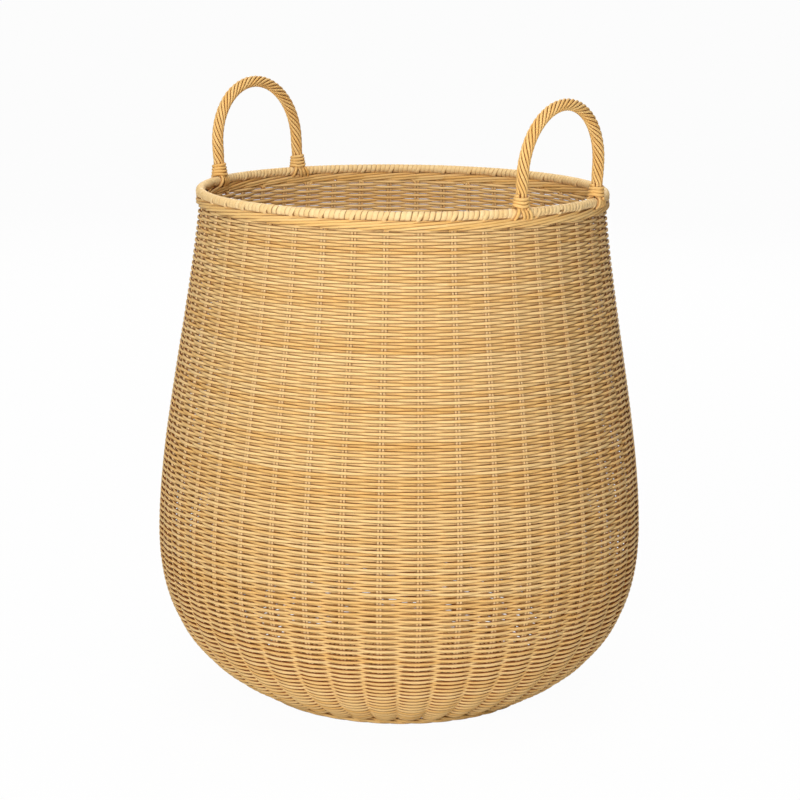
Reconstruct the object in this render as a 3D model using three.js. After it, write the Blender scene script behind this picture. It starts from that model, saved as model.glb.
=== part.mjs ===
// Laundry basket of woven cane: a pear-shaped wall on a rolled foot, a bound rim hoop and two loop handles,
// each twisted from eight canes round a core. Millimetres, +Z up, origin on the floor under the middle of the
// basket. The handles stand on the X axis.

import * as THREE from 'three';

// Driving dimensions

const clearance = 0.3; // between pieces that touch

// Weave
const stakeCount = 42; // upright canes round the wall, each a pair side by side
const stakeTurn = -4; // degrees from the X axis to a stake
const stakeDiameter = 3.0;
const weaverDiameter = 2.9;

// Foot, base and belly
const baseRadius = 122.5;
const footOutset = 2.5; // the middle of the rolled foot, out from the base's edge
const footWidth = 10;
const footHeight = 4.4;
const footFlat = 7; // width that rests on the floor
const footCrown = 6; // width of its top, which the base and the wall sit on
const footSide = 2; // height of its widest place
const baseDome = 8; // rise of the base at its middle
const bellyRadius = 225; // the widest place, over the weave
const bellyHeight = 155;
const heelReach = 39; // how far the heel's flat stretch reaches out from the base
const heelRise = 101; // how far the belly's upright stretch reaches down
const bellyFullness = 85; // and up

// Neck and rolled border under the rim
const neckOutset = 2; // the weave at the top of the wall, out from the hoop's middle
const neckFlare = 9; // how much wider the wall is one neckRun lower
const neckRun = 99;
const borderWidth = 8.6;
const borderHeight = 11;
const borderCanes = 6; // canes that lie side by side round the border
const borderGroove = 0.85; // how far out the grooves between them reach, as a share of the canes' reach

// Rim
const rimHeight = 469; // middle of the hoop
const rimRadius = 185;
const hoopDiameter = 6.4;
const peelThickness = 0.6;
const peelEndGap = 1.2; // where the winding starts and ends

// Handles
const handleSpread = 17.8; // degrees along the rim from a handle's middle to its foot
const rightTurn = -0.6; // degrees along the rim from the X axis to the middle of the right handle
const rightLean = 2.9; // degrees that the right handle leans out of the basket
const leftLean = 4.5; // degrees that the left one leans
const bowHeight = 90.2; // from the hoop's middle to the rope's middle at the top
const legHeight = 33; // straight stretch of each leg
const strandCount = 8;
const strandDiameter = 2.35;
const ropeSlack = 0.83; // room beside each strand for the twist
const waistSlack = 0.52; // the same where a collar draws the strands in
const spreadSlack = 1.02; // and where they leave the collar over the hoop
const twistSlots = 33; // strand places that a strand passes from collar to collar
const hookAngle = 125; // degrees that the strand ends reach round the hoop from its top
const tailFan = 1.5; // how far the strand ends spread along the rim

// Collars
const collarCane = 2.3;
const collarGap = 0.45; // between the turns of a collar
const collarTurns = 3.6;
const collarDip = 1.2; // how far its lowest turn dips beside the hoop
const collarFlare = 0.4; // how much wider than the strands need its lowest turn is
const collarFit = 0.45; // between a collar and the strands in it

// Fineness of the facets
const wallColumns = 2 * stakeCount;
const heelRings = 6;
const shoulderRings = 4;
const baseStations = [0, 0.25, 0.6, 1]; // shares of the way from the middle of the base to its edge
const borderColumns = 2 * stakeCount;
const footColumns = stakeCount;
const hoopColumns = Math.round(1.5 * stakeCount);
const hoopSides = 8;
const strandSides = 5;
const ropeSteps = 32;
const tailSteps = 4;
const coreSteps = 22;
const coreSides = 6;
const collarStepsPerTurn = 14;

// Sizes that follow

const degree = Math.PI / 180;
const footRadius = baseRadius + footOutset;
const neckRadius = rimRadius + neckOutset;
const ridgeHalf = stakeDiameter / 2 + weaverDiameter; // half the wall where weavers pass over a stake
const valleyHalf = weaverDiameter / 2; // half the wall where they cross between stakes
const peelInner = hoopDiameter / 2 + clearance;
const peelOuter = peelInner + peelThickness;
const borderTop = rimHeight - peelOuter - clearance;
const wallTop = borderTop - borderHeight - clearance;
const wallFoot = footHeight + clearance;
const wallStart = baseRadius + clearance;
const strandCircle = (slack) => (strandDiameter + slack) / 2 / Math.sin(Math.PI / strandCount);
const ropeRadius = strandCircle(ropeSlack); // of the circle that the strands' middles lie on
const waistRadius = strandCircle(waistSlack);
const spreadRadius = strandCircle(spreadSlack);
const coreDiameter = 2 * (waistRadius - clearance) - strandDiameter;
const tailRadius = peelOuter + clearance + strandDiameter / 2;
const collarPitch = collarCane + collarGap;
const collarStart = peelOuter + 2 * clearance + collarCane / 2; // middle of the lowest turn, over the hoop's
const collarEnd = collarStart + collarTurns * collarPitch;
const waistHeight = collarEnd + collarCane / 2;
const chordHalf = rimRadius * Math.sin(handleSpread * degree);
const chordDistance = rimRadius * Math.cos(handleSpread * degree);

const caneFinish = { color: 0xdcae66, roughness: 0.5, metalness: 0 };
const coreFinish = { color: 0xcda05a, roughness: 0.6, metalness: 0 };
const peelFinish = { color: 0xe8cb8c, roughness: 0.4, metalness: 0 };

function piece(name, geometry, finish) {
  const mesh = new THREE.Mesh(geometry, new THREE.MeshStandardMaterial(finish));
  mesh.name = name;
  return mesh;
}

// A closed ring about Z that starts at a stake. sectionAt gives the corners of its section as radius and
// height, anticlockwise.
function turnedRing(columns, sectionAt) {
  const positions = [];
  const faces = [];
  let corners = 0;
  for (let column = 0; column < columns; column++) {
    const along = 2 * Math.PI * column / columns;
    const section = sectionAt(column, along);
    const angle = along + stakeTurn * degree;
    corners = section.length;
    for (const corner of section) {
      positions.push(corner.x * Math.cos(angle), corner.x * Math.sin(angle), corner.y);
    }
  }
  for (let column = 0; column < columns; column++) {
    const here = column * corners;
    const next = (column + 1) % columns * corners;
    for (let corner = 0; corner < corners; corner++) {
      const above = (corner + 1) % corners;
      faces.push(here + corner, next + corner, next + above);
      faces.push(here + corner, next + above, here + above);
    }
  }
  const geometry = new THREE.BufferGeometry();
  geometry.setAttribute('position', new THREE.Float32BufferAttribute(positions, 3));
  geometry.setIndex(faces);
  return geometry;
}

// A smooth path whose steps fall on its own points, so that tight bends can have more of them.
class SteppedPath extends THREE.CatmullRomCurve3 {
  getUtoTmapping(u) {
    return u;
  }
}

function roundOutline(radius, sides) {
  const corners = [];
  for (let side = 0; side < sides; side++) {
    const angle = 2 * Math.PI * side / sides;
    corners.push(new THREE.Vector2(radius * Math.cos(angle), radius * Math.sin(angle)));
  }
  return corners;
}

function cane(points, diameter, sides) {
  const section = new THREE.Shape(roundOutline(diameter / 2, sides));
  const extrudePath = new SteppedPath(points);
  return new THREE.ExtrudeGeometry(section, { steps: points.length - 1, extrudePath });
}

// The least gap between the turns of one winding, from its points. Points less than half a turn apart are
// on the same turn.
function leastGap(points, diameter, stepsPerTurn) {
  let least = Infinity;
  for (let first = 0; first < points.length; first++) {
    for (let second = first + Math.floor(stepsPerTurn / 2); second < points.length; second++) {
      least = Math.min(least, points[first].distanceTo(points[second]) - diameter);
    }
  }
  return least;
}

// Wall

// The outline over the weave: a round heel from the foot to the belly, then a long shoulder to the neck.
function wallOutline() {
  const outline = new THREE.CurvePath();
  outline.add(new THREE.CubicBezierCurve(
    new THREE.Vector2(wallStart, wallFoot),
    new THREE.Vector2(wallStart + heelReach, wallFoot),
    new THREE.Vector2(bellyRadius, bellyHeight - heelRise),
    new THREE.Vector2(bellyRadius, bellyHeight)));
  outline.add(new THREE.CubicBezierCurve(
    new THREE.Vector2(bellyRadius, bellyHeight),
    new THREE.Vector2(bellyRadius, bellyHeight + bellyFullness),
    new THREE.Vector2(neckRadius + neckFlare, wallTop - neckRun),
    new THREE.Vector2(neckRadius, wallTop)));
  return outline;
}

// Middle of the wall's thickness and the way out of it, ring by ring from the foot to the neck.
function wallRings() {
  const rings = [];
  const [heel, shoulder] = wallOutline().curves;
  const addRing = (curve, share) => {
    const tangent = curve.getTangentAt(share);
    const out = new THREE.Vector2(tangent.y, -tangent.x);
    rings.push({ middle: curve.getPointAt(share).addScaledVector(out, -ridgeHalf), out });
  };
  for (let ring = 0; ring < heelRings; ring++) {
    addRing(heel, ring / heelRings);
  }
  for (let ring = 0; ring <= shoulderRings; ring++) {
    addRing(shoulder, ring / shoulderRings);
  }
  return rings;
}

// The weave swells over each stake, on both faces, and is one weaver thick between the stakes.
function makeWall() {
  const rings = wallRings();
  return turnedRing(wallColumns, (column) => {
    const half = column % 2 === 0 ? ridgeHalf : valleyHalf;
    const outside = rings.map(({ middle, out }) => middle.clone().addScaledVector(out, half));
    const inside = rings.map(({ middle, out }) => middle.clone().addScaledVector(out, -half));
    return [...outside, ...inside.reverse()];
  });
}

// Base

// A domed disc with a rib over each spoke. The ribs run out towards the middle, where the spokes cross.
function makeBase() {
  const ribHalf = ridgeHalf - valleyHalf;
  const low = [];
  const high = [];
  for (const station of baseStations) {
    const rise = baseDome * (1 - station * station);
    low.push(new THREE.Vector2(station * baseRadius, wallFoot + rise));
    high.push(new THREE.Vector2(station * baseRadius, wallFoot + 2 * ridgeHalf + rise));
  }
  const geometry = new THREE.LatheGeometry([...low, ...high.reverse()], stakeCount);
  geometry.rotateX(Math.PI / 2);
  geometry.rotateZ(stakeTurn * degree);
  const corners = 2 * baseStations.length;
  const position = geometry.attributes.position;
  for (let index = 0; index < position.count; index++) {
    const column = Math.floor(index / corners) % stakeCount;
    const corner = index % corners;
    const share = Math.hypot(position.getX(index), position.getY(index)) / baseRadius;
    if (column % 2 === 1) {
      const inward = corner < baseStations.length ? 1 : -1;
      position.setZ(index, position.getZ(index) + inward * ribHalf * share);
    }
  }
  return geometry;
}

// Borders

// Under the rim, canes lie side by side round an oval, and each climbs about one place from stake to stake.
function makeTopBorder() {
  const middle = borderTop - borderHeight / 2;
  const rounds = Math.round(stakeCount / borderCanes);
  const corners = 2 * borderCanes;
  return turnedRing(borderColumns, (column, angle) => {
    const section = [];
    for (let corner = 0; corner < corners; corner++) {
      const turn = 2 * Math.PI * corner / corners - rounds * angle;
      const reach = corner % 2 === 0 ? 1 : borderGroove;
      section.push(new THREE.Vector2(
        rimRadius + reach * borderWidth / 2 * Math.cos(turn),
        middle + reach * borderHeight / 2 * Math.sin(turn)));
    }
    return section;
  });
}

// Foot: flat underneath, with a rounded top.
function makeFoot() {
  const section = [
    new THREE.Vector2(footRadius - footFlat / 2, 0),
    new THREE.Vector2(footRadius + footFlat / 2, 0),
    new THREE.Vector2(footRadius + footWidth / 2, footSide),
    new THREE.Vector2(footRadius + footCrown / 2, footHeight),
    new THREE.Vector2(footRadius - footCrown / 2, footHeight),
    new THREE.Vector2(footRadius - footWidth / 2, footSide),
  ];
  return turnedRing(footColumns, () => section);
}

// Rim

// The peel is a sleeve round the hoop, open for a short stretch where the winding starts and ends.
function makeBinding() {
  const points = [];
  for (let column = 0; column < hoopColumns; column++) {
    points.push(2 * Math.PI * column / hoopColumns);
  }
  points.push(2 * Math.PI - peelEndGap / rimRadius);
  const path = new SteppedPath(points.map((angle) =>
    new THREE.Vector3(rimRadius * Math.cos(angle), rimRadius * Math.sin(angle), 0)));
  const section = new THREE.Shape(roundOutline(peelOuter, hoopSides));
  section.holes.push(new THREE.Path(roundOutline(peelInner, hoopSides)));
  return new THREE.ExtrudeGeometry(section, { steps: hoopColumns, extrudePath: path });
}

// Handles

// The rope's centre line in the handle's upright plane: along the rim, and up from the hoop's middle.
class Bow extends THREE.CurvePath {
  constructor(lean) {
    super();
    this.lean = lean * degree;
    this.add(new THREE.LineCurve(new THREE.Vector2(-chordHalf, 0), new THREE.Vector2(-chordHalf, legHeight)));
    this.add(new THREE.EllipseCurve(0, legHeight, chordHalf, bowHeight - legHeight, Math.PI, 0, true));
    this.add(new THREE.LineCurve(new THREE.Vector2(chordHalf, legHeight), new THREE.Vector2(chordHalf, 0)));
  }

  // Leans a place on the handle out of the basket. Its x is counted from the handle's upright plane.
  leaned(place) {
    const hinge = new THREE.Vector3(0, 1, 0);
    return place.applyAxisAngle(hinge, this.lean).add(new THREE.Vector3(chordDistance, 0, 0));
  }

  // A point beside the centre line. Turn 0 faces out of the basket.
  beside(share, radius, turn) {
    const place = this.getPoint(share);
    const along = this.getTangent(share);
    const side = radius * Math.sin(turn);
    return this.leaned(new THREE.Vector3(
      radius * Math.cos(turn), place.x + side * along.y, place.y - side * along.x));
  }
}

// A strand's end, from under the collar out over the hoop and round beneath it. End is -1 or 1 along the rim.
function tailPoints(end, slot) {
  const out = spreadRadius * Math.cos(slot);
  const along = spreadRadius * Math.sin(slot);
  const start = Math.asin(Math.abs(out) / tailRadius);
  const points = [];
  for (let step = 0; step <= tailSteps; step++) {
    const share = step / tailSteps;
    const turn = THREE.MathUtils.lerp(start, hookAngle * degree, share);
    const place = new THREE.Vector3(
      rimRadius + Math.sign(out) * tailRadius * Math.sin(turn),
      -end * along * THREE.MathUtils.lerp(1, tailFan, share),
      tailRadius * Math.cos(turn));
    points.push(place.applyAxisAngle(new THREE.Vector3(0, 0, 1), end * handleSpread * degree));
  }
  return points;
}

// One strand: up out of the hoop, round the core from collar to collar, and down over the hoop again.
function strandPoints(bow, index) {
  const slotAngle = 2 * Math.PI / strandCount;
  const first = (index + 0.5) * slotAngle;
  const last = first - twistSlots * slotAngle;
  const skew = -handleSpread * degree;
  const length = bow.getLength();
  const points = tailPoints(-1, first).reverse();
  points.push(bow.beside(collarStart / length, spreadRadius, first + skew));
  for (let step = 0; step <= ropeSteps; step++) {
    const share = step / ropeSteps;
    const radius = step === 0 || step === ropeSteps ? waistRadius : ropeRadius;
    const turn = THREE.MathUtils.lerp(first, last, share) + skew;
    const place = THREE.MathUtils.lerp(waistHeight, length - waistHeight, share);
    points.push(bow.beside(place / length, radius, turn));
  }
  points.push(bow.beside(1 - collarStart / length, spreadRadius, last + skew));
  points.push(...tailPoints(1, last));
  return points;
}

function corePoints(bow) {
  const length = bow.getLength();
  const start = peelOuter + 2 * clearance;
  const points = [];
  for (let step = 0; step <= coreSteps; step++) {
    points.push(bow.beside(THREE.MathUtils.lerp(start, length - start, step / coreSteps) / length, 0, 0));
  }
  return points;
}

// A collar winds up round the foot of a leg, drawn in from the spread strands to the waist of the rope. Its
// low turns dip on the hoop's inner and outer side.
function collarPoints(bow, end) {
  const steps = Math.round(collarTurns * collarStepsPerTurn);
  const low = spreadRadius + (strandDiameter + collarCane) / 2 + collarFit + collarFlare;
  const high = waistRadius + (strandDiameter + collarCane) / 2 + collarFit;
  const points = [];
  for (let step = 0; step <= steps; step++) {
    const share = step / steps;
    const radius = THREE.MathUtils.lerp(low, high, share);
    const turn = 2 * Math.PI * collarTurns * share;
    const dip = collarDip * (1 - share) * Math.cos(turn - end * handleSpread * degree) ** 2;
    points.push(bow.leaned(new THREE.Vector3(
      radius * Math.cos(turn),
      end * chordHalf + radius * Math.sin(turn),
      THREE.MathUtils.lerp(collarStart, collarEnd, share) - dip)));
  }
  return points;
}

function makeHandle(side, feet, lean) {
  const handle = new THREE.Group();
  const bow = new Bow(lean);
  handle.add(piece(`${side}_handle_core`, cane(corePoints(bow), coreDiameter, coreSides), coreFinish));
  for (let index = 0; index < strandCount; index++) {
    const strand = cane(strandPoints(bow, index), strandDiameter, strandSides);
    handle.add(piece(`${side}_handle_strand_${index + 1}`, strand, caneFinish));
  }
  feet.forEach((foot, index) => {
    const points = collarPoints(bow, index === 0 ? -1 : 1);
    const gap = leastGap(points, collarCane, collarStepsPerTurn);
    console.log(`${side}_handle_${foot}_collar: least gap to itself ${gap.toFixed(2)} mm`);
    handle.add(piece(`${side}_handle_${foot}_collar`, cane(points, collarCane, strandSides), caneFinish));
  });
  handle.position.z = rimHeight;
  return handle;
}

// Assembly

const basket = new THREE.Group();
basket.add(piece('woven_base', makeBase(), caneFinish));
basket.add(piece('foot_border', makeFoot(), caneFinish));
basket.add(piece('woven_wall', makeWall(), caneFinish));

basket.add(piece('top_border', makeTopBorder(), caneFinish));

const hoop = piece(
  'rim_hoop', new THREE.TorusGeometry(rimRadius, hoopDiameter / 2, hoopSides, hoopColumns), coreFinish);
hoop.position.z = rimHeight;
basket.add(hoop);

const binding = piece('rim_binding', makeBinding(), peelFinish);
binding.position.z = rimHeight;
basket.add(binding);

const rightHandle = makeHandle('right', ['front', 'back'], rightLean);
rightHandle.rotation.z = rightTurn * degree;
basket.add(rightHandle);
const leftHandle = makeHandle('left', ['back', 'front'], leftLean);
leftHandle.rotation.z = Math.PI;
basket.add(leftHandle);

export default basket;
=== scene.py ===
"""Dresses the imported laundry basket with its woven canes, borders, bound rim and twisted handles.

Lengths are in metres and angles in degrees, unless a name says otherwise. Heights are over the floor, and
angles round the basket run from the middle of the right handle, turning left as seen from above. Where a
Number is given, it is one value for all points or one for each.
"""

import logging
import math
from dataclasses import dataclass, field
from enum import Enum

import bpy
import numpy as np
from mathutils import Color, Matrix, Vector
from numpy.random import default_rng


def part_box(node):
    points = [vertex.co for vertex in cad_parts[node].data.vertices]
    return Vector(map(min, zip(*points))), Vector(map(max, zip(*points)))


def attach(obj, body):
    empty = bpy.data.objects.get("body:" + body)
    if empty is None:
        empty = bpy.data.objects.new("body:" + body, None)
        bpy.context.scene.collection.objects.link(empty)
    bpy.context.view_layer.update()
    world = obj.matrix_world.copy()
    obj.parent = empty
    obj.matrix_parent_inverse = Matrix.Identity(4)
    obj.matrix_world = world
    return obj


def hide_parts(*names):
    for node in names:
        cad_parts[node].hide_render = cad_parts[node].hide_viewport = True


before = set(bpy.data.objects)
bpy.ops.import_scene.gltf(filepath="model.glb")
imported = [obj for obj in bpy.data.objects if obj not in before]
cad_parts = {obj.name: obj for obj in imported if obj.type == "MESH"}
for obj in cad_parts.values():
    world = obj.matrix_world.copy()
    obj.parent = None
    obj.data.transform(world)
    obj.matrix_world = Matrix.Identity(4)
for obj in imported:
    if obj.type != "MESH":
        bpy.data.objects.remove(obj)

log = logging.getLogger("laundry_basket")

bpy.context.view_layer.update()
MM = 0.001
BODY = "root"
UP = np.array([0.0, 0.0, 1.0])

Array = np.ndarray
Number = Array | float
Socket = bpy.types.NodeSocket
Piece = bpy.types.Object


class Slot(Enum):
    """The record's material slots."""

    WOVEN = "woven_cane"
    BORDER = "border_cane"
    HANDLE = "handle_cane"
    PEEL = "peel"


# Small helpers


def as_rgba(colour: tuple[int, int, int]) -> tuple[float, float, float, float]:
    """Turns a screen colour, from 0 to 255, into the linear one with full alpha that the shaders take."""
    return (*Color([value / 255 for value in colour]).from_srgb_to_scene_linear(), 1.0)


def unit(vectors: Array) -> Array:
    """Scales each vector in the last axis to length one."""
    return vectors / np.linalg.norm(vectors, axis=-1, keepdims=True)


def round_places(angle: Number, radius: Number, height: Number) -> Array:
    """Points round the basket's axis, from angles in radians, distances from the axis and heights."""
    angle, radius, height = np.broadcast_arrays(angle, radius, height)
    return np.stack([radius * np.cos(angle), radius * np.sin(angle), height], axis=-1)


def ways_out(angle: Array) -> Array:
    """Level directions out of the basket at angles in radians."""
    return round_places(angle, 1.0, 0.0)


def ways_round(angle: Array) -> Array:
    """Level directions round the basket at angles in radians."""
    return round_places(angle + math.pi / 2, 1.0, 0.0)


def smooth_step(share: Number) -> Number:
    """Eases a share from 0 to 1, flat at both ends."""
    held = np.clip(share, 0, 1)
    return held * held * (3 - 2 * held)


def run_along(points: Array) -> Array:
    """How far along its path each point lies. The paths run in the axis before the last."""
    strides = np.linalg.norm(np.diff(points, axis=-2), axis=-1)
    return np.concatenate([np.zeros_like(strides[..., :1]), np.cumsum(strides, axis=-1)], axis=-1)


def cubic(corners: Array, share: Array) -> Array:
    """Points along a cubic curve given by its four corners, at shares of the way."""
    weights = (1 - share) ** 3, 3 * share * (1 - share) ** 2, 3 * share ** 2 * (1 - share), share ** 3
    return sum(weight * corner for weight, corner in zip(weights, corners))


# Shader nodes


class Wiring:
    """Adds shader nodes to the tree of a material or a world, each joined up as it is added."""

    FIRST_COLOUR, SECOND_COLOUR, MIXED_COLOUR = 6, 7, 2

    def __init__(self, tree: bpy.types.NodeTree) -> None:
        """Takes the tree."""
        self.tree = tree

    def feed(self, node: bpy.types.Node | str, inputs: dict) -> None:
        """Sets a node's inputs.

        Args:
            node: the node or its name.
            inputs: by each input's name or number, its value or the socket that it reads.
        """
        node = self.tree.nodes[node] if isinstance(node, str) else node
        for key, value in inputs.items():
            if isinstance(value, Socket):
                self.tree.links.new(value, node.inputs[key])
            else:
                node.inputs[key].default_value = value

    def add(self, kind: str, output: str | int, inputs: dict | None = None, **settings: str) -> Socket:
        """Adds a node.

        Args:
            kind: its type, without ShaderNode before it.
            output: the output that is wanted.
            inputs: its inputs, as feed takes them.
            settings: its own settings.

        Returns:
            The socket of that output.
        """
        node = self.tree.nodes.new(f"ShaderNode{kind}")
        for name, value in settings.items():
            setattr(node, name, value)
        self.feed(node, inputs or {})
        return node.outputs[output]

    def math(self, operation: str, *values: Socket | float) -> Socket:
        """Adds a sum of sockets and values."""
        return self.add("Math", "Value", dict(enumerate(values)), operation=operation)

    def rescale(self, value: Socket, start: tuple = (0, 1), end: tuple = (0, 1), **settings: str) -> Socket:
        """Takes a value from one range to another, and holds it there."""
        return self.add("MapRange", "Result", {"Value": value, "From Min": start[0], "From Max": start[1],
                                               "To Min": end[0], "To Max": end[1]}, **settings)

    def blend(self, share: Socket, first: Socket | tuple, second: Socket | tuple) -> Socket:
        """Mixes two colours by the share of the second one."""
        inputs = {"Factor": share, self.FIRST_COLOUR: first, self.SECOND_COLOUR: second}
        return self.add("Mix", self.MIXED_COLOUR, inputs, data_type="RGBA")

    def bump(self, height: Socket, strength: float, depth: float) -> Socket:
        """Turns a height into a shading normal."""
        return self.add("Bump", "Normal", {"Strength": strength, "Distance": depth, "Height": height})


def new_material(name: str) -> tuple[bpy.types.Material, Wiring]:
    """Starts a node material, and gives it with the wiring of its nodes."""
    material = bpy.data.materials.new(name)
    material.use_nodes = True
    return material, Wiring(material.node_tree)


# Finishes


@dataclass(frozen=True)
class CaneNoise:
    """Noise that runs along each cane: features for a metre of it and round it, and the noise's octaves.

    The shift is how far apart the patterns of two lengths of cane are.
    """

    scale: tuple[float, float, float]
    shift: float
    detail: float

    def add(self, wiring: Wiring, along: Socket, tone: Socket) -> Socket:
        """Adds the noise.

        Args:
            wiring: the material's nodes.
            along: the place along and round the cane.
            tone: each length's number.

        Returns:
            The socket that carries the noise.
        """
        apart = wiring.add("CombineXYZ", "Vector", {"Z": wiring.math("MULTIPLY", tone, self.shift)})
        place = wiring.add("VectorMath", "Vector", {0: along, 1: self.scale, 2: apart},
                           operation="MULTIPLY_ADD")
        return wiring.add("TexNoise", "Fac", {"Scale": 1, "Detail": self.detail, "Vector": place})


@dataclass(frozen=True)
class CaneFinish:
    """Lacquered cane. The grain follows the cane through its UV map, and each length has a tone of its own.

    A painted shade darkens the grooves, on the flanks where canes lie side by side, where shade falls between
    them.
    """

    name: str
    pale: tuple[int, int, int]
    deep: tuple[int, int, int]
    speck: tuple[int, int, int] = (128, 78, 34)
    # Painted shade: the colour laid in the grooves between canes, how much of it, and from how far off the
    # outward faces.
    groove_shade: tuple[int, int, int] = (126, 40, 2)
    groove_shade_share: float = 1.0
    groove_shade_from: float = 0.64
    tone_share: float = 0.32
    patch_share: float = 0.35
    grain_share: float = 0.4
    tone_range: tuple[float, float] = (0.18, 1.0)
    speck_range: tuple[float, float] = (0.74, 0.8)
    speck_share: float = 0.35
    glossiest: float = 0.46
    dullest: float = 0.66
    reflection: float = 0.1
    bump_strength: float = 0.6
    grain_depth: float = 0.04 * MM
    patches: CaneNoise = CaneNoise((9, 1.2, 0), 57, 2)
    grain: CaneNoise = CaneNoise((45, 11, 0), 91, 4)
    specks: CaneNoise = CaneNoise((700, 7, 0), 23, 1)

    def material(self) -> bpy.types.Material:
        """Builds the material once and gives the same one after that.

        Returns:
            The node material.
        """
        known = bpy.data.materials.get(self.name)
        if known is not None:
            return known
        material, wiring = new_material(self.name)
        along = wiring.add("UVMap", "UV", uv_map=CaneBundle.UV_NAME)
        tone = wiring.add("Attribute", "Fac", attribute_name=CaneBundle.TONE_NAME)
        patches, grain, specks = (noise.add(wiring, along, tone)
                                  for noise in (self.patches, self.grain, self.specks))
        mixed: Socket | float = 0.0
        for socket, share in ((tone, self.tone_share), (patches, self.patch_share),
                              (grain, self.grain_share)):
            mixed = wiring.math("MULTIPLY_ADD", socket, share, mixed)
        honey = wiring.blend(wiring.rescale(mixed, self.tone_range), as_rgba(self.pale), as_rgba(self.deep))
        spots = wiring.rescale(specks, self.speck_range, (0, self.speck_share))
        speckled = wiring.blend(spots, honey, as_rgba(self.speck))
        wiring.feed("Principled BSDF", {
            # The base colour carries painted shade in the grooves.
            "Base Color": wiring.blend(self._groove_shade(wiring), speckled, as_rgba(self.groove_shade)),
            "Specular IOR Level": self.reflection,
            "Roughness": wiring.rescale(grain, end=(self.glossiest, self.dullest)),
            "Normal": wiring.bump(grain, self.bump_strength, self.grain_depth),
        })
        return material

    def _groove_shade(self, wiring: Wiring) -> Socket:
        """How much painted groove shade lies on the cane: none on the faces that look out, most on the
        flanks.
        """
        face = wiring.add("Attribute", "Fac", attribute_name=CaneBundle.SHADE_FACE_NAME)
        return wiring.rescale(wiring.math("ABSOLUTE", face), (0, self.groove_shade_from), (self.groove_shade_share, 0),
                              interpolation_type="SMOOTHSTEP")


@dataclass(frozen=True)
class CoreFinish:
    """Bare cane of the hidden hoop and cores, with a grain in the object's own coordinates."""

    name: str = "bare_core_cane"
    pale: tuple[int, int, int] = (214, 168, 98)
    deep: tuple[int, int, int] = (176, 126, 66)
    grain_scale: float = 260
    grain_octaves: float = 4
    grain_range: tuple[float, float] = (0.35, 0.65)
    roughness: float = 0.6
    bump_strength: float = 0.4
    grain_depth: float = 0.1 * MM

    def material(self) -> bpy.types.Material:
        """Builds the material.

        Returns:
            The node material.
        """
        material, wiring = new_material(self.name)
        grain = wiring.add("TexNoise", "Fac", {"Scale": self.grain_scale, "Detail": self.grain_octaves,
                                               "Vector": wiring.add("TexCoord", "Object")})
        wiring.feed("Principled BSDF", {
            "Base Color": wiring.blend(wiring.rescale(grain, self.grain_range), as_rgba(self.deep),
                                       as_rgba(self.pale)),
            "Roughness": self.roughness,
            "Normal": wiring.bump(grain, self.bump_strength, self.grain_depth),
        })
        return material


# Canes


def quad_places(path: Array, sides: int) -> tuple[Array, ...]:
    """Where the quads of a swept section lie.

    Args:
        path: the points along the path.
        sides: corners of the section.

    Returns:
        The metres along at each quad's start and end, and the shares of the way round at its two sides.
    """
    run = run_along(path)
    start = np.repeat(run[..., :-1, None], sides, axis=-1)
    end = np.repeat(run[..., 1:, None], sides, axis=-1)
    low = np.broadcast_to(np.arange(sides) / sides, start.shape)
    return start, end, low, low + 1 / sides


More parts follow.
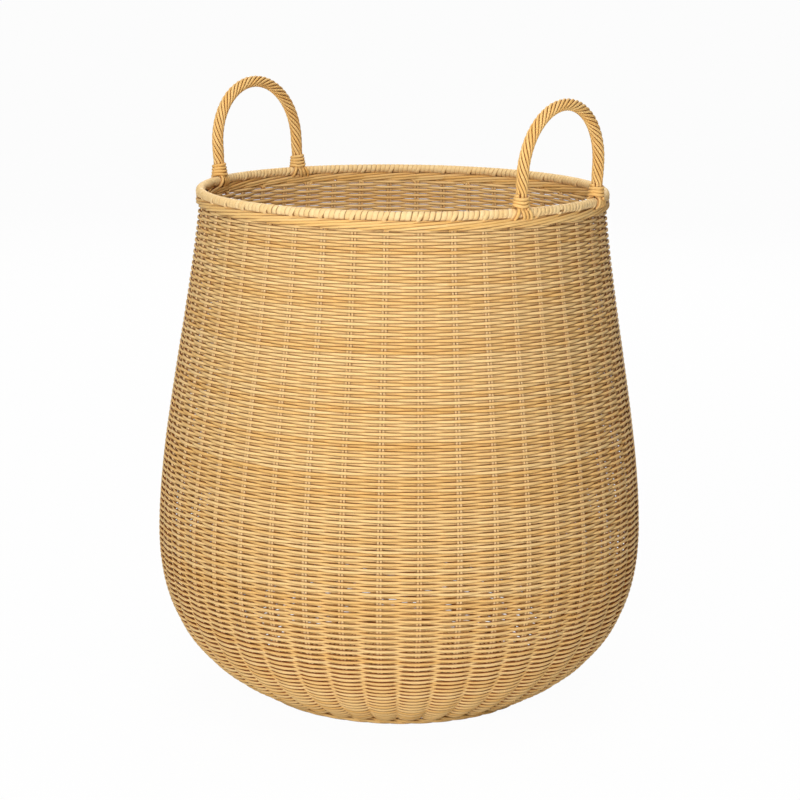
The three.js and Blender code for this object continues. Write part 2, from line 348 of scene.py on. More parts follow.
class CaneBundle:
    """Round canes swept along paths and gathered into one mesh.

    The UV map holds the metres along each cane and the share of the way round it. The tone attribute tells
    one length of cane from the next, and the face attribute how far each side looks out of the weave; the
    finishes paint shade into the grooves by it. Where a cane dives into the weave its face values are
    lowered, so that painted shade lies there too.
    """

    UV_NAME = "along_cane"
    TONE_NAME = "cane_tone"
    SHADE_FACE_NAME = "cane_face"
    # Painted shade where a cane dives into the weave: from how deep, over how far, and how much.
    SUNK_FROM = 0.62
    SUNK_OVER = 0.3
    SUNK_SHADE_SHARE = 0.6

    def __init__(self, sides: int) -> None:
        """Starts an empty bundle of canes with so many facets round them."""
        self.sides = sides
        self.count = 0
        self.points: list[Array] = []
        self.tones: list[Array] = []
        self.facing: list[Array] = []
        self.faces: list[list[int]] = []
        self.places: list[Array] = []
        self.smooth: list[Array] = []

    def add(self, paths: Array, radii: Number, tones: Number, outward: Array, closed: bool = False,
            proud: Number = 0.0, least_facing: Number = -1.0) -> None:
        """Sweeps canes along paths that have the same number of points.

        Args:
            paths: points, by cane and step.
            radii: half the cane's diameter.
            tones: the tone.
            outward: directions that look out of the weave.
            closed: whether each path is a ring.
            proud: how far the cane stands out of the weave, from -1 to 1; where it is sunk, more painted
                shade lies on it.
            least_facing: the lowest value of the face attribute, which limits the painted groove shade.
        """
        canes, steps = paths.shape[:2]
        tangents = unit(np.roll(paths, -1, axis=1) - np.roll(paths, 1, axis=1) if closed
                        else np.gradient(paths, axis=1))
        normals = unit(outward - (outward * tangents).sum(-1, keepdims=True) * tangents)
        sideways = np.cross(tangents, normals)
        angles = 2 * math.pi * (np.arange(self.sides) + 0.5) / self.sides
        ring = (np.cos(angles)[:, None] * normals[:, :, None, :]
                + np.sin(angles)[:, None] * sideways[:, :, None, :])
        reach = np.broadcast_to(radii, (canes, steps))[..., None, None]
        self.points.append((paths[:, :, None, :] + reach * ring).reshape(-1, 3))
        self.tones.append(np.repeat(np.broadcast_to(tones, (canes, steps)), self.sides))
        # The face values lay painted shade on the flanks, and more where the cane is sunk in the weave.
        facing = np.maximum((ring * normals[:, :, None, :]).sum(-1), np.asarray(least_facing)[..., None])
        sunk = smooth_step((-facing * np.asarray(proud)[..., None] - self.SUNK_FROM) / self.SUNK_OVER)
        self.facing.append((facing * (1 - self.SUNK_SHADE_SHARE * sunk)).ravel())

        index = self.count + np.arange(canes * steps * self.sides).reshape(canes, steps, self.sides)
        self.count += index.size
        here = index if closed else index[:, :-1]
        ahead = np.roll(index, -1, axis=1) if closed else index[:, 1:]
        quads = np.stack([here, np.roll(here, -1, axis=2), np.roll(ahead, -1, axis=2), ahead], axis=-1)
        walked = np.concatenate([paths, paths[:, :1]], axis=1) if closed else paths
        start, end, low, high = quad_places(walked, self.sides)
        self.skin(quads, np.stack([start, low, start, high, end, high, end, low], axis=-1))
        if not closed:
            self.skin(index[:, 0, ::-1])
            self.skin(index[:, -1])

    def skin(self, faces: Array, places: Array | None = None) -> None:
        """Adds faces: the smooth ones that have UV places, or the flat cuts at a cane's ends.

        Args:
            faces: numbers of the faces' points.
            places: the UV places of their corners.
        """
        corners = faces.shape[-1]
        self.faces.extend(faces.reshape(-1, corners).tolist())
        self.smooth.append(np.full(faces.size // corners, places is not None))
        self.places.append(np.zeros(2 * faces.size) if places is None else places.ravel())

    def build(self, name: str) -> Piece:
        """Makes one mesh object of all the canes.

        Args:
            name: the piece's name.

        Returns:
            The object, at the origin.
        """
        mesh = bpy.data.meshes.new(name)
        mesh.from_pydata(np.concatenate(self.points), [], self.faces)
        mesh.polygons.foreach_set("use_smooth", np.concatenate(self.smooth))
        mesh.uv_layers.new(name=self.UV_NAME).data.foreach_set("uv", np.concatenate(self.places))
        for label, values in ((self.TONE_NAME, self.tones), (self.SHADE_FACE_NAME, self.facing)):
            attribute = mesh.attributes.new(label, "FLOAT", "POINT")
            attribute.data.foreach_set("value", np.concatenate(values).astype(np.float32))
        mesh.update()
        piece = bpy.data.objects.new(name, mesh)
        bpy.context.scene.collection.objects.link(piece)
        return piece


def dress(piece: Piece, finish: CaneFinish, slot: Slot, *nodes: str) -> None:
    """Gives a piece its finish, and says which body carries it and which nodes it stands for.

    Args:
        piece: the piece.
        finish: its finish.
        slot: not used.
        nodes: the CAD nodes that it replaces.
    """
    piece.data.materials.append(finish.material())
    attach(piece, BODY)
    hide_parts(*nodes)
    log.info("%s: %d faces, in place of %s", piece.name, len(piece.data.polygons), ", ".join(nodes))


# Each finish paints shade into the grooves between its canes.
WOVEN_FINISH = CaneFinish("woven_cane_lacquer", pale=(246, 214, 154), deep=(224, 168, 82))
STAKE_FINISH = CaneFinish("stake_lacquer", pale=(250, 220, 166), deep=(238, 192, 120), groove_shade_from=0.4)
BORDER_FINISH = CaneFinish("border_cane_lacquer", pale=(246, 211, 146), deep=(224, 168, 82), groove_shade_from=0.95)
HANDLE_FINISH = CaneFinish("handle_cane_lacquer", pale=(246, 208, 140), deep=(226, 168, 84), groove_shade_share=0.9,
                           grain_depth=0.015 * MM)
PEEL_FINISH = CaneFinish("peel_lacquer", pale=(247, 218, 164), deep=(234, 191, 124), groove_shade_share=0.55,
                         groove_shade_from=0.7, tone_share=0.3, grain_depth=0.1 * MM)


# Wall


@dataclass
class WallProfile:
    """Middle surface of the wall: a round heel up to the belly, and a long shoulder up to the neck."""

    start_radius: float = 136.4 * MM
    start_lift: float = 2.6 * MM
    heel_slope: float = 25
    heel_reach: float = 48.5 * MM
    heel_rise: float = 91 * MM
    belly_radius: float = 225.4 * MM
    belly_height: float = 155 * MM
    belly_fullness: float = 85 * MM
    neck_radius: float = 187 * MM
    neck_flare: float = 9 * MM
    neck_run: float = 99 * MM
    top_lift: float = 4.6 * MM
    half_thickness: float = 3.4 * MM
    samples: int = 300

    def __post_init__(self) -> None:
        """Samples the outline over the weave and steps in from it to the middle."""
        low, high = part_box("woven_wall")
        top = high.z + self.top_lift
        start = low.z + self.start_lift
        slope = math.radians(self.heel_slope)
        share = np.linspace(0, 1, self.samples)[:, None]
        heel = cubic(np.array([
            (self.start_radius, start),
            (self.start_radius + self.heel_reach * math.cos(slope),
             start + self.heel_reach * math.sin(slope)),
            (self.belly_radius, self.belly_height - self.heel_rise),
            (self.belly_radius, self.belly_height),
        ]), share)
        shoulder = cubic(np.array([
            (self.belly_radius, self.belly_height),
            (self.belly_radius, self.belly_height + self.belly_fullness),
            (self.neck_radius + self.neck_flare, top - self.neck_run),
            (self.neck_radius, top),
        ]), share)
        outline = np.concatenate([heel, shoulder[1:]])
        tangent = unit(np.gradient(outline, axis=0))
        self.out = np.stack([tangent[:, 1], -tangent[:, 0]], axis=-1)
        self.middle = outline - self.half_thickness * self.out
        self.run = run_along(self.middle)
        self.length = float(self.run[-1])

    def lay(self, angle: Array, climb: Array, out: Number) -> tuple[Array, Array]:
        """Places on or beside the middle surface.

        Args:
            angle: angles round the basket in radians.
            climb: how far up the wall, along its middle.
            out: how far out of the middle surface.

        Returns:
            The points, and the directions square out of the wall there.
        """
        radius, height, out_radius, out_height = (np.interp(climb, self.run, line)
                                                  for line in (*self.middle.T, *self.out.T))
        return (round_places(angle, radius + out * out_radius, height + out * out_height),
                round_places(angle, out_radius, out_height))


@dataclass
class StakeRing:
    """Where the pairs of stakes stand round the basket. Their spacing wanders a little, as hand work does."""

    count: int = 42
    turn: float = -4.0
    wander: float = 0.25
    waves: tuple[int, ...] = (3, 5, 8)
    seed: int = 11

    def __post_init__(self) -> None:
        """Draws the phases of the wander."""
        self.phases = default_rng(self.seed).uniform(0, 2 * math.pi, len(self.waves))

    def angle(self, stake: Array) -> Array:
        """The angle in radians at places counted in stakes, whole numbers on the stakes.

        Args:
            stake: the places.

        Returns:
            Their angles, with the wander.
        """
        plain = 2 * math.pi * stake / self.count
        shift = sum(np.cos(wave * plain + phase) for wave, phase in zip(self.waves, self.phases))
        return plain + math.radians(self.turn) + math.radians(self.wander) * shift

    def parts(self, steps: int) -> Array:
        """Places once round the ring, counted in stakes, with so many steps from each to the next."""
        return np.arange(self.count * steps) / steps


@dataclass
class WovenWall:
    """The wall: pairs of stakes, and weavers over one pair and under the next, row on row."""

    profile: WallProfile
    ring: StakeRing
    stake_diameter: float = 2.6 * MM
    stake_spacing: float = 2.75 * MM
    weaver_diameter: float = 2.84 * MM
    thinnest: float = 0.96
    thickest: float = 1.03
    row_pitch: float = 2.66 * MM
    spread_over: float = 0.18
    heel_spread: float = 0.2
    spread_from: float = 80 * MM
    spread_fade: float = 110 * MM
    heel_heavier: float = 0.45
    heel_height: float = 75 * MM
    swing: float = 1.8 * MM
    sharpness: float = 0.6
    rows_per_band: int = 46
    steps_per_stake: int = 8
    stake_steps: int = 120
    climb_steps: int = 2000
    sides: int = 6
    uneven: float = 0.13 * MM
    uneven_waves: tuple[int, ...] = (2, 7, 13, 19)
    shortest_length: float = 1.4
    longest_length: float = 3.4
    lengths_per_row: int = 2
    spare_lengths: int = 4
    seed: int = 3

    def __post_init__(self) -> None:
        """Counts the rows up the wall, eased a little so that whole rows fill it."""
        self.draws = default_rng(self.seed)
        self.walk = np.linspace(0, self.profile.length, self.climb_steps)
        density = 1 / (self.row_pitch * self._heavier(self.walk))
        count = np.concatenate([[0], np.cumsum((density[1:] + density[:-1]) / 2 * np.diff(self.walk))])
        self.rows = round(count[-1])
        self.count = count * self.rows / count[-1]

    def build(self) -> None:
        """Makes the stakes and the bands of rows."""
        self._build_stakes()
        bands = math.ceil(self.rows / self.rows_per_band)
        edges = [round(band * self.rows / bands) for band in range(bands + 1)]
        for band, (first, last) in enumerate(zip(edges, edges[1:])):
            self._build_band(f"wall_weavers_{band + 1}", np.arange(first, last))
        log.info("wall: %d rows in %d bands", self.rows, bands)

    def _heavier(self, climb: Array) -> Array:
        """How many times as thick as above the heel the weavers are at places up the wall."""
        return 1 + self.heel_heavier * (1 - smooth_step(climb / self.heel_height))

    def _build_stakes(self) -> None:
        """Makes both stakes of each pair."""
        bundle = CaneBundle(self.sides)
        draws = default_rng(self.seed + 1)
        climb = np.linspace(0, self.profile.length, self.stake_steps)[None, :]
        angle = self.ring.angle(np.arange(self.ring.count))[:, None]
        middle, outward = self.profile.lay(angle, climb, 0.0)
        for side in (-1, 1):
            paths = middle + side * self.stake_spacing / 2 * ways_round(angle)
            bundle.add(paths, self.stake_diameter / 2, draws.uniform(0, 1, (self.ring.count, 1)), outward)
        dress(bundle.build("wall_stakes"), STAKE_FINISH, Slot.WOVEN, "woven_wall")

    def _build_band(self, name: str, rows: Array) -> None:
        """Makes one band of rows.

        Args:
            name: the piece's name.
            rows: the numbers of its rows.
        """
        bundle = CaneBundle(self.sides)
        stake = self.ring.parts(self.steps_per_stake)
        angle = self.ring.angle(stake)[None, :]
        over = np.cos(math.pi * (stake[None, :] + rows[:, None]))
        climb = np.interp(rows[:, None] + 0.5, self.count, self.walk)
        heavier = self._heavier(climb)
        out = self.swing * heavier * np.sign(over) * np.abs(over) ** self.sharpness
        for waves in self.uneven_waves:
            phase = self.draws.uniform(0, 2 * math.pi, (len(rows), 1))
            climb = climb + self.uneven / len(self.uneven_waves) * np.cos(waves * angle + phase)
        paths, outward = self.profile.lay(angle, climb, out)
        thickness = self.draws.uniform(self.thinnest, self.thickest, (len(rows), 1))
        radii = self.weaver_diameter / 2 * thickness * heavier
        near_heel = 1 - smooth_step((climb - self.spread_from) / self.spread_fade)
        radii = radii * (1 + (self.spread_over + self.heel_spread * near_heel) * over ** 2)
        # proud lays painted shade where a row dives behind the stakes.
        bundle.add(paths, radii, self._tones(paths), outward, closed=True, proud=over)
        dress(bundle.build(name), WOVEN_FINISH, Slot.WOVEN, "woven_wall")

    def _tones(self, paths: Array) -> Array:
        """Tones of rows, with a new length of cane joined in every few metres.

        Args:
            paths: the rows' points.

        Returns:
            A tone for each point.
        """
        strides = np.linalg.norm(np.roll(paths, -1, axis=1) - paths, axis=-1)
        run = np.cumsum(strides).reshape(strides.shape)
        lengths = self.draws.uniform(self.shortest_length, self.longest_length,
                                     self.lengths_per_row * len(paths) + self.spare_lengths)
        number = np.searchsorted(np.cumsum(lengths), run)
        return self.draws.uniform(0, 1, len(lengths) + 1)[number]


# Base


@dataclass
class WovenBase:
    """The domed base: spokes crossed at the middle and fanned out, with rings of weavers round them."""

    ring: StakeRing
    cane_diameter: float = 2.8 * MM
    cane_gap: float = 0.1 * MM
    cross_half: float = 17 * MM
    fan_end: float = 46 * MM
    grouped_from: float = 22.5 * MM
    single_from: float = 52 * MM
    row_pitch: float = 2.66 * MM
    swing: float = 2.2 * MM
    group: int = 3
    dome: float = 8 * MM
    edge_half: float = 6.2 * MM
    edge_reach: float = 13.5 * MM
    spoke_steps: int = 60
    steps_per_stake: int = 6
    sides: int = 6
    seed: int = 21

    def __post_init__(self) -> None:
        """Takes the base's edge from the frame, and runs it on to where the wall starts."""
        low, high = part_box("woven_base")
        self.radius = high.x + self.edge_reach
        self.edge_middle = low.z + self.edge_half
        self.draws = default_rng(self.seed)
        self.bundle = CaneBundle(self.sides)

    def height(self, radius: Number) -> Number:
        """Height of the base's middle surface at a distance from the axis."""
        return self.edge_middle + self.dome * (1 - (radius / self.radius) ** 2)

    def build(self) -> None:
        """Makes the spokes and the rings of weavers."""
        self._add_spokes()
        self._add_rings()
        dress(self.bundle.build("base_weave"), WOVEN_FINISH, Slot.WOVEN, "woven_base")

    def _add_spokes(self) -> None:
        """Adds spokes that cross the middle side by side, in two bundles one on the other."""
        quarter = self.ring.count / 4
        reach = np.linspace(-1, 1, 2 * self.spoke_steps + 1) * (self.radius - self.cane_diameter)
        opened = smooth_step((np.abs(reach) - self.cross_half) / (self.fan_end - self.cross_half))
        for bundle_turn, members, layer in ((0.0, math.floor(quarter), 0.5), (0.5, math.ceil(quarter), -0.5)):
            ranks = np.arange(members) - (members - 1) / 2
            fan = 2 * math.pi * ranks[:, None] / self.ring.count
            parallel = ranks[:, None] * (self.cane_diameter + self.cane_gap)
            across = parallel + (np.abs(reach) * np.sin(fan) - parallel) * opened
            along = reach + (reach * np.cos(fan) - reach) * opened
            lift = layer * self.cane_diameter * (1 - opened)
            angle = math.pi * (bundle_turn + 1 / self.ring.count) + math.radians(self.ring.turn)
            radius = np.hypot(across, along)
            paths = round_places(angle + np.arctan2(across, along), radius, self.height(radius) + lift)
            self.bundle.add(paths, self.cane_diameter / 2, self.draws.uniform(0, 1, (members, 1)), UP)

    def _add_rings(self) -> None:
        """Adds the weavers, first over groups of spokes and further out over single ones."""
        reach = self.radius - self.cane_diameter / 2 - self.grouped_from
        rows = 1 + round(reach / self.row_pitch)
        stake = self.ring.parts(self.steps_per_stake)
        angle = 2 * math.pi * stake / self.ring.count + math.radians(self.ring.turn)
        for row in range(rows):
            radius = self.grouped_from + row * reach / (rows - 1)
            group = self.group if radius < self.single_from else 1
            wave = np.cos(math.pi * ((stake + 0.5 * (group - 1)) / group + row))
            flat = np.tanh(group * wave) / math.tanh(group)
            paths = round_places(angle, radius, self.height(radius) + self.swing * flat)[None]
            self.bundle.add(paths, self.cane_diameter / 2, self.draws.uniform(0, 1), UP, closed=True)


# Borders


@dataclass
class RolledBorder:
    """A border of the stakes' own ends: at each stake canes turn aside and run round to where they tuck in.

    The route of one cane is given by a few places: how many stakes along, and in millimetres how far out of
    the middle radius and how high. The plain rings behind the canes have how far out and how high, too.
    """

    name: str
    node: str
    ring: StakeRing
    radius: float
    diameter: float
    route: list[tuple[float, float, float]]
    canes_at_stake: int = 1
    cane_rise: float = 0.0
    cane_out: float = 0.0
    pair_turn: float = 0.5
    wobble: float = 0.06
    rings: list[tuple[float, float]] = field(default_factory=list)
    ring_steps: int = 4
    steps: int = 40
    sides: int = 7
    seed: int = 31

    def build(self) -> None:
        """Makes all the canes of the border, and the plain rings that lie behind them."""
        bundle = CaneBundle(self.sides)
        draws = default_rng(self.seed)
        along, out, height = self._smooth_route().T[:, None, :]
        stakes = np.arange(self.ring.count)[:, None]
        spread = smooth_step(along / self.pair_turn)
        for cane in range(self.canes_at_stake):
            step = cane - (self.canes_at_stake - 1) / 2
            angle = self.ring.angle(stakes + along + draws.normal(0, self.wobble, (self.ring.count, 1)))
            shift = step * self.diameter * (1 - spread)
            paths = round_places(angle, self.radius + out + step * self.cane_out * spread,
                                 height + step * self.cane_rise * spread)
            paths = paths + shift[..., None] * ways_round(angle)
            bundle.add(paths, self.diameter / 2, draws.uniform(0, 1, (self.ring.count, 1)), ways_out(angle))
        around = self.ring.angle(self.ring.parts(self.ring_steps))
        for out, height in MM * np.array(self.rings):
            bundle.add(round_places(around, self.radius + out, height)[None], self.diameter / 2,
                       draws.uniform(0, 1), ways_out(around)[None], closed=True)
        dress(bundle.build(self.name), BORDER_FINISH, Slot.BORDER, self.node)

    def _smooth_route(self) -> Array:
        """A smooth line through the route's places.

        Returns:
            Evenly stepped places, with stakes along, out and height in the last axis.
        """
        knots = np.array(self.route) * (1, MM, MM)
        padded = np.concatenate([2 * knots[:1] - knots[1:2], knots, 2 * knots[-1:] - knots[-2:-1]])
        walk = np.linspace(0, len(knots) - 1, self.steps)
        segment = np.minimum(walk.astype(int), len(knots) - 2)
        share = (walk - segment)[:, None]
        before, start, end, after = (padded[segment + offset] for offset in range(4))
        return cubic([start, start + (end - before) / 6, end - (after - start) / 6, end], share)


# Rim


@dataclass
class RimBinding:
    """Flat peel wound round the hoop, with a longer stitch into the border at each stake.

    The section is given corner by corner: how far across, how far up from the hoop, and how far the corner
    looks out of the winding, which sets how much painted shade lies on it.
    """

    SECTION = ((-0.5, 0.0, 0.0), (-0.5, 0.5, 0.2), (-0.36, 0.95, 0.8), (0.0, 1.1, 1.0),
               (0.36, 0.95, 0.8), (0.5, 0.5, 0.2), (0.5, 0.0, 0.0))

    ring: StakeRing
    wraps_per_stake: int = 6
    inner: float = 3.3 * MM
    outer: float = 4.1 * MM
    uneven: float = 0.05 * MM
    gap: float = 0.03 * MM
    wander: float = 0.035
    stitch_reach: float = 0.8 * MM
    stitch_gap: float = 0.35 * MM
    stitch_lean: float = 1.3 * MM
    stitch_hold: float = 0.3
    stitch_fade: float = 0.5
    low_from: float = 0.5
    low_fade: float = 1.3
    lean_sharpness: float = 3
    steps_per_wrap: int = 16
    seed: int = 41

    def __post_init__(self) -> None:
        """Takes the hoop's middle from the frame."""
        low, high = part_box("rim_hoop")
        self.height = (low.z + high.z) / 2
        self.radius = high.x - (high.z - low.z) / 2
        self.draws = default_rng(self.seed)

    def build(self) -> None:
        """Winds the peel round the rim. At each stake a turn leans aside underneath and reaches lower."""
        wraps = self.ring.count * self.wraps_per_stake
        wrap = np.arange(wraps + 1)
        place = np.arange(wraps * self.steps_per_wrap) / self.steps_per_wrap
        turn = 2 * math.pi * place
        wander = np.interp(place, wrap, self.draws.normal(0, self.wander, len(wrap)))
        angle = self.ring.angle((place + wander) / self.wraps_per_stake)
        half = self.wraps_per_stake / 2
        near_stitch = np.abs((place + half) % self.wraps_per_stake - half)
        stitch = ((1 - smooth_step((near_stitch - self.stitch_hold) / self.stitch_fade))
                  * smooth_step((self.low_from - np.sin(turn)) / self.low_fade))
        width = 2 * math.pi * self.radius / wraps - self.gap - self.stitch_gap * stitch
        uneven = np.interp(place, wrap, self.draws.uniform(-self.uneven, self.uneven, len(wrap)))
        reach = self.stitch_reach * stitch + uneven
        lean = self.stitch_lean * stitch * np.tanh(self.lean_sharpness * np.cos(turn))
        rows = []
        for across, rise, _ in self.SECTION:
            distance = self.inner + (self.outer - self.inner + reach) * rise
            rows.append(round_places(angle + (across * width - lean) / self.radius,
                                     self.radius + distance * np.cos(turn),
                                     self.height + distance * np.sin(turn)))
        dress(self._ribbon(np.stack(rows, axis=1)), PEEL_FINISH, Slot.PEEL, "rim_binding")

    def _ribbon(self, points: Array) -> Piece:
        """Skins the wound section.

        Args:
            points: points by step and corner of the section.

        Returns:
            The piece.
        """
        steps, corners = points.shape[:2]
        bundle = CaneBundle(corners)
        bundle.points.append(points.reshape(-1, 3))
        wrap = (np.arange(steps) / self.steps_per_wrap + 0.5).astype(int)
        bundle.tones.append(np.repeat(self.draws.uniform(0, 1, wrap.max() + 1)[wrap], corners))
        # The corners' facing lays painted shade on the peel's edges.
        bundle.facing.append(np.tile([corner[2] for corner in self.SECTION], steps))
        index = np.arange(steps * corners).reshape(steps, corners)
        here, ahead = index[:-1], index[1:]
        start, end, low, high = quad_places(points[:, 0], corners)
        bundle.skin(np.stack([here, ahead, np.roll(ahead, -1, axis=1), np.roll(here, -1, axis=1)], axis=-1),
                    np.stack([start, low, end, low, end, high, start, high], axis=-1))
        bundle.skin(index[:1])
        bundle.skin(index[-1:, ::-1])
        return bundle.build("rim_peel")


# Handles


@dataclass
class Handle:
    """One bow of eight canes twisted round a core, bound at each foot and hooked under the hoop."""

    side: str
    feet: tuple[str, str]
    place_on_rim: float
    lean: float
    rim_radius: float
    rim_height: float
    seed: int
    spread: float = 17.55
    bow_height: float = 89.8 * MM
    leg_height: float = 33 * MM
    strands: int = 8
    strand_diameter: float = 2.74 * MM
    tail_diameter: float = 3.0 * MM
    rope_circle: float = 4.05 * MM
    waist_circle: float = 3.75 * MM
    foot_circle: float = 4.3 * MM
    waist_fade: float = 0.6
    twist_slots: int = 33
    peel_reach: float = 4.1 * MM
    collar_start: float = 5.4 * MM
    collar_cane: float = 3.0 * MM
    collar_pitch: float = 2.62 * MM
    collar_turns: float = 3.8
    collar_low: float = 6.8 * MM
    collar_high: float = 5.25 * MM
    collar_taper: float = 0.8
    collar_dip: float = 1.8 * MM
    collar_steps: int = 24
    hook_turn: float = 150
    inner_pair: float = 0.65
    tail_step: float = 3.2 * MM
    tail_drift: float = 3.2 * MM
    tail_fan: float = 0.2
    tail_lead: float = 0.1
    hook_drift: float = -3.2 * MM
    # The least face value at the free ends, which lessens the painted shade on their flanks.
    tail_facing: float = 0.3
    ease_rounds: int = 12
    rope_steps: int = 320
    tail_steps: int = 20
    sides: int = 10

    def __post_init__(self) -> None:
        """Works out the bow from the rim."""
        self.chord_half = self.rim_radius * math.sin(math.radians(self.spread))
        self.chord_distance = self.rim_radius * math.cos(math.radians(self.spread))
        self.arc_length = math.pi * (self.chord_half + self.bow_height - self.leg_height) / 2
        self.length = 2 * self.leg_height + self.arc_length
        self.collar_end = self.collar_start + self.collar_turns * self.collar_pitch
        self.waist = self.collar_end + self.collar_cane / 2
        turn = Matrix.Rotation(math.radians(self.place_on_rim), 4, "Z")
        self.placing = Matrix.Translation((0, 0, self.rim_height)) @ turn
        self.draws = default_rng(self.seed)

    def build(self) -> None:
        """Makes the strands and the collars."""
        for index in range(self.strands):
            path, outward, free = self._strand(index)
            diameter = self.strand_diameter + (self.tail_diameter - self.strand_diameter) * free
            self._sweep(f"strand_{index + 1}", path, outward, diameter, self.tail_facing * free)
        for end, foot in zip((-1, 1), self.feet):
            self._sweep(f"{foot}_collar", *self._collar(end), self.collar_cane, 0.0)

    def _sweep(self, part: str, path: Array, outward: Array, diameter: Number, least_facing: Number) -> None:
        """Makes one cane of the handle, at its place on the rim.

        Args:
            part: what it is, as the CAD node's name ends.
            path: its points, for a handle at the middle of the right side.
            outward: directions that look out of the rope or the leg.
            diameter: the cane's diameter.
            least_facing: the lowest value of the face attribute, which limits the painted groove shade.
        """
        bundle = CaneBundle(self.sides)
        bundle.add(path[None], diameter / 2, self.draws.uniform(0, 1), outward[None],
                   least_facing=least_facing)
        node = f"{self.side}_handle_{part}"
        piece = bundle.build(node.replace("strand", "cane").replace("collar", "lashing"))
        piece.data.transform(self.placing)
        dress(piece, HANDLE_FINISH, Slot.HANDLE, node)

    def _beside_bow(self, place: Array, radius: Number, turn: Array) -> Array:
        """Points beside the bow's centre line, from the rim's height.

        Args:
            place: how far along the bow.
            radius: how far from its centre line.
            turn: the way round it in radians, 0 out of the basket.

        Returns:
            The points.
        """
        rise = self.bow_height - self.leg_height
        swing = math.pi * (1 - np.clip((place - self.leg_height) / self.arc_length, 0, 1))
        leg = np.minimum(np.minimum(place, self.length - place), self.leg_height)
        side = radius * np.sin(turn)
        return self._leaned(radius * np.cos(turn), (self.chord_half - side) * np.cos(swing),
                            leg + (rise - side) * np.sin(swing))

    def _leaned(self, out: Number, along: Number, up: Number) -> Array:
        """Leans places on the handle out of the basket.

        Args:
            out: how far out of the handle's upright plane.
            along: how far along the rim.
            up: how far up from the rim's middle.

        Returns:
            The points.
        """
        angle = math.radians(self.lean)
        out, along, up = np.broadcast_arrays(out, along, up)
        return np.stack([self.chord_distance + out * math.cos(angle) + up * math.sin(angle), along,
                         up * math.cos(angle) - out * math.sin(angle)], axis=-1)

    def _tail(self, end: int, slot: float) -> tuple[Array, Array]:
        """The end of one strand, from under the collar over the hoop to its underside.

        The ends keep the rope's lay, so they drift one way outside the hoop and the other way inside it, and
        fan out. The last one on each side hooks back.

        Args:
            end: -1 or 1 along the rim.
            slot: the strand's place in the collar, in radians, 0 out of the basket.

        Returns:
            The points from the collar on, and the directions out of the hoop at them.
        """
        tail_radius = self.peel_reach + self.tail_diameter / 2
        out = self.foot_circle * math.cos(slot)
        along = self.foot_circle * math.sin(slot)
        rank = math.copysign(0.5 if abs(math.sin(slot)) < self.inner_pair else 1.5, along)
        side = math.copysign(1, out)
        lead = -side * end * rank
        drift = side * (self.hook_drift if lead < -1 else self.tail_drift * (1 + self.tail_fan * lead))
        share = np.linspace(0, 1, self.tail_steps + 1)
        start = math.asin(min(1.0, abs(out) / tail_radius))
        turn = start + (math.radians(self.hook_turn) - start) * share
        eased = smooth_step(share * (1 - self.tail_lead) + self.tail_lead)
        y = -end * (along + (rank * self.tail_step - along) * eased) + drift * smooth_step(share)
        level = np.zeros_like(y)
        middle = np.stack([level + self.rim_radius, y, level], axis=-1)
        outward = np.stack([side * np.sin(turn), level, np.cos(turn)], axis=-1)
        turned = np.array(Matrix.Rotation(-end * math.radians(self.spread), 3, "Z"))
        return (middle + tail_radius * outward) @ turned, outward @ turned

    def _strand(self, index: int) -> tuple[Array, Array, Array]:
        """One strand: up out of the hoop, round the core, and down over the hoop again.

        Args:
            index: the strand's number.

        Returns:
            Its points, the directions out of the rope and the hoop at them, and where it lies free: 1 at its
            ends, 0 in the rope.
        """
        slot = 2 * math.pi / self.strands
        first = (index + 0.5) * slot
        last = first - self.twist_slots * slot
        place = np.linspace(self.collar_start, self.length - self.collar_start, self.rope_steps)
        share = np.clip((place - self.waist) / (self.length - 2 * self.waist), 0, 1)
        from_foot = np.minimum(place, self.length - place)
        squeeze = smooth_step((from_foot - self.collar_start) / (self.waist - self.collar_start))
        swell = smooth_step((from_foot - self.waist) / (self.waist_fade * self.waist))
        radius = (self.foot_circle + (self.waist_circle - self.foot_circle) * squeeze
                  + (self.rope_circle - self.waist_circle) * swell)
        turn = first + (last - first) * share - math.radians(self.spread)
        rope = self._beside_bow(place, radius, turn)
        outward = unit(rope - self._beside_bow(place, 0.0, turn))
        start, start_outward = self._tail(-1, first)
        finish, finish_outward = self._tail(1, last)
        path = np.concatenate([start[::-1], rope, finish])
        outward = np.concatenate([start_outward[::-1], outward, finish_outward])
        for _ in range(self.ease_rounds):
            outward[1:-1] = unit(outward[:-2] + 2 * outward[1:-1] + outward[2:])
        free = np.ones(len(path))
        free[self.tail_steps + 1:-self.tail_steps - 1] = 1 - squeeze
        return path, outward, free

    def _collar(self, end: int) -> tuple[Array, Array]:
        """The cane wound round one foot, drawn in towards the top. Its low turns dip beside the hoop.

        Args:
            end: -1 or 1 along the rim.

        Returns:
            Its points, and the directions out of the leg at them.
        """
        share = np.linspace(0, 1, round(self.collar_steps * self.collar_turns))
        radius = self.collar_low + (self.collar_high - self.collar_low) * share ** self.collar_taper
        turn = 2 * math.pi * self.collar_turns * share
        dip = self.collar_dip * (1 - share) * np.cos(turn - end * math.radians(self.spread)) ** 2
        height = self.collar_start + (self.collar_end - self.collar_start) * share - dip
        foot = end * self.chord_half
        path = self._leaned(radius * np.cos(turn), foot + radius * np.sin(turn), height)
        return path, unit(path - self._leaned(0.0, foot, height))


# Studio


@dataclass(frozen=True)
class SoftLight:
    """A square soft box, aimed at the basket's middle."""

    name: str
    azimuth: float
    elevation: float
    distance: float
    size: float
    power: float

    def build(self, target: Vector) -> None:
        """Adds the light.

        Args:
            target: what it is aimed at.
        """
        azimuth = math.radians(self.azimuth)
        elevation = math.radians(self.elevation)
        way = Vector((math.sin(azimuth) * math.cos(elevation), -math.cos(azimuth) * math.cos(elevation),
                      math.sin(elevation)))
        bpy.ops.object.light_add(type="AREA", location=target + self.distance * way)
        light = bpy.context.object
        light.name = self.name
        light.rotation_euler = way.to_track_quat("Z", "Y").to_euler()
        light.data.shape = "SQUARE"
        light.data.size = self.size
        light.data.energy = self.power


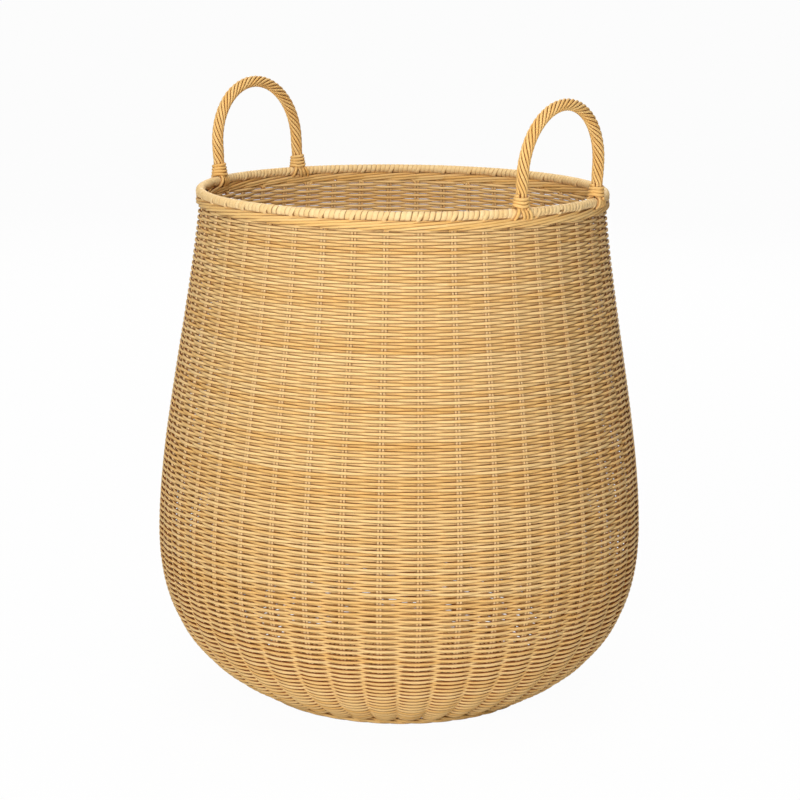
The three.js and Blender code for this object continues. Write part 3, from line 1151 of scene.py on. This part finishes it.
@dataclass
class Studio:
    """The pale floor, the world, the lights and the camera."""

    floor_size: float = 30.0
    floor_shade: float = 0.86
    floor_white: float = 0.97
    world_level: float = 0.13
    target_height: float = 0.25
    camera_azimuth: float = 38.57
    camera_distance: float = 2.2581
    camera_height: float = 0.7364
    camera_pitch: float = 11.6
    camera_roll: float = 0.63
    camera_side: float = -0.4 * MM
    camera_sight: float = 100.0
    lens: float = 111.2
    lights: tuple[SoftLight, ...] = (
        SoftLight("key", azimuth=27, elevation=20, distance=3.0, size=0.9, power=49),
        SoftLight("top", azimuth=30, elevation=78, distance=2.4, size=1.6, power=29),
        SoftLight("low fill", azimuth=34, elevation=3, distance=3.0, size=0.4, power=11),
        SoftLight("back fill", azimuth=216, elevation=28, distance=3.0, size=1.6, power=34),
    )

    def build(self) -> None:
        """Makes the studio."""
        self._build_floor()
        self._build_world()
        for light in self.lights:
            light.build(Vector((0, 0, self.target_height)))
        self._build_camera()

    def _build_floor(self) -> None:
        """Adds a floor that is white to the camera and keeps a soft shadow."""
        bpy.ops.mesh.primitive_plane_add(size=self.floor_size)
        floor = bpy.context.object
        floor.name = "floor"
        material, wiring = new_material("studio_floor")
        wiring.tree.nodes.remove(wiring.tree.nodes["Principled BSDF"])
        matt = wiring.add("BsdfDiffuse", "BSDF", {"Color": (*[self.floor_shade] * 3, 1)})
        seen = wiring.math("MULTIPLY", wiring.add("LightPath", "Is Camera Ray"), self.floor_white)
        glow = wiring.add("Emission", "Emission")
        mixed = wiring.add("MixShader", "Shader", {"Fac": seen, 1: matt, 2: glow})
        wiring.feed("Material Output", {"Surface": mixed})
        floor.data.materials.append(material)

    def _build_world(self) -> None:
        """Sets a world that lights evenly, and is white to the camera, in reflections and through glass."""
        world = bpy.data.worlds.new("studio")
        bpy.context.scene.world = world
        world.use_nodes = True
        wiring = Wiring(world.node_tree)
        rays = wiring.tree.nodes.new("ShaderNodeLightPath")
        seen = rays.outputs["Is Camera Ray"]
        for ray in ("Is Glossy Ray", "Is Transmission Ray"):
            seen = wiring.math("MAXIMUM", seen, rays.outputs[ray])
        level = wiring.rescale(seen, end=(self.world_level, 1))
        wiring.feed("Background", {"Color": (1, 1, 1, 1), "Strength": level})

    def _build_camera(self) -> None:
        """Adds the camera at the photograph's place."""
        azimuth = math.radians(self.camera_azimuth)
        right = Vector((math.cos(azimuth), math.sin(azimuth), 0))
        back = Vector((math.sin(azimuth), -math.cos(azimuth), 0))
        place = back * self.camera_distance + right * self.camera_side
        place.z = self.camera_height
        bpy.ops.object.camera_add(location=place)
        camera = bpy.context.object
        turn = (Matrix.Rotation(azimuth, 4, "Z")
                @ Matrix.Rotation(math.radians(90 - self.camera_pitch), 4, "X")
                @ Matrix.Rotation(math.radians(self.camera_roll), 4, "Z"))
        camera.rotation_euler = turn.to_euler()
        camera.data.lens = self.lens
        camera.data.clip_end = self.camera_sight
        scene = bpy.context.scene
        scene.camera = camera
        scene.view_settings.view_transform = "Standard"


# Assembly


def dress_hidden_canes() -> None:
    """Gives the hoop and the handles' cores, which stay as CAD nodes, the finish of bare cane."""
    material = CoreFinish().material()
    for name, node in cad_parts.items():
        if name == "rim_hoop" or name.endswith("_core"):
            for slot in node.material_slots:
                slot.material = material
            log.info("%s: kept from the frame", name)


def foot_border(ring: StakeRing) -> RolledBorder:
    """The border that the basket stands on, whose canes run round under the heel."""
    return RolledBorder(
        name="foot_canes", node="foot_border", ring=ring, radius=125.5 * MM, diameter=3.4 * MM,
        route=[(-0.2, -1.2, 5.6), (0.3, 2.2, 4.4), (1.0, 4.3, 3.0), (1.8, 2.4, 1.8), (2.5, -1.4, 1.7),
               (3.2, -3.6, 1.8)],
        rings=[(-2.2, 5.6), (-5.4, 5.9)],
    )


def top_border(ring: StakeRing) -> RolledBorder:
    """The border under the rim, where the stakes turn aside in pairs."""
    return RolledBorder(
        name="rim_border_canes", node="top_border", ring=ring, radius=185 * MM, diameter=3.3 * MM,
        route=[(0.0, -1.6, 455.6), (0.08, -1.0, 457.6), (0.45, 1.4, 459.4), (1.0, 2.6, 461.0),
               (1.6, 2.2, 462.4), (2.2, 0.2, 463.0), (2.8, -1.9, 462.2), (3.4, -2.6, 460.6),
               (4.0, -1.6, 459.2)],
        canes_at_stake=2, cane_rise=2.4 * MM, cane_out=-0.4 * MM, steps=56, seed=37,
    )


def main() -> None:
    """Builds the sub-assemblies in order, from the base up, and then the studio."""
    logging.basicConfig(level=logging.INFO, format="%(name)s: %(message)s")
    bpy.ops.object.select_all(action="DESELECT")
    ring = StakeRing()
    binding = RimBinding(ring)
    handles = (Handle("right", ("front", "back"), -0.85, 2.9, binding.radius, binding.height, seed=51),
               Handle("left", ("back", "front"), 179.8, 4.5, binding.radius, binding.height, seed=52))
    for part in (WovenBase(ring), foot_border(ring), WovenWall(WallProfile(), ring), top_border(ring),
                 binding, *handles):
        part.build()
    dress_hidden_canes()
    Studio().build()


if __name__ == "__main__":
    main()
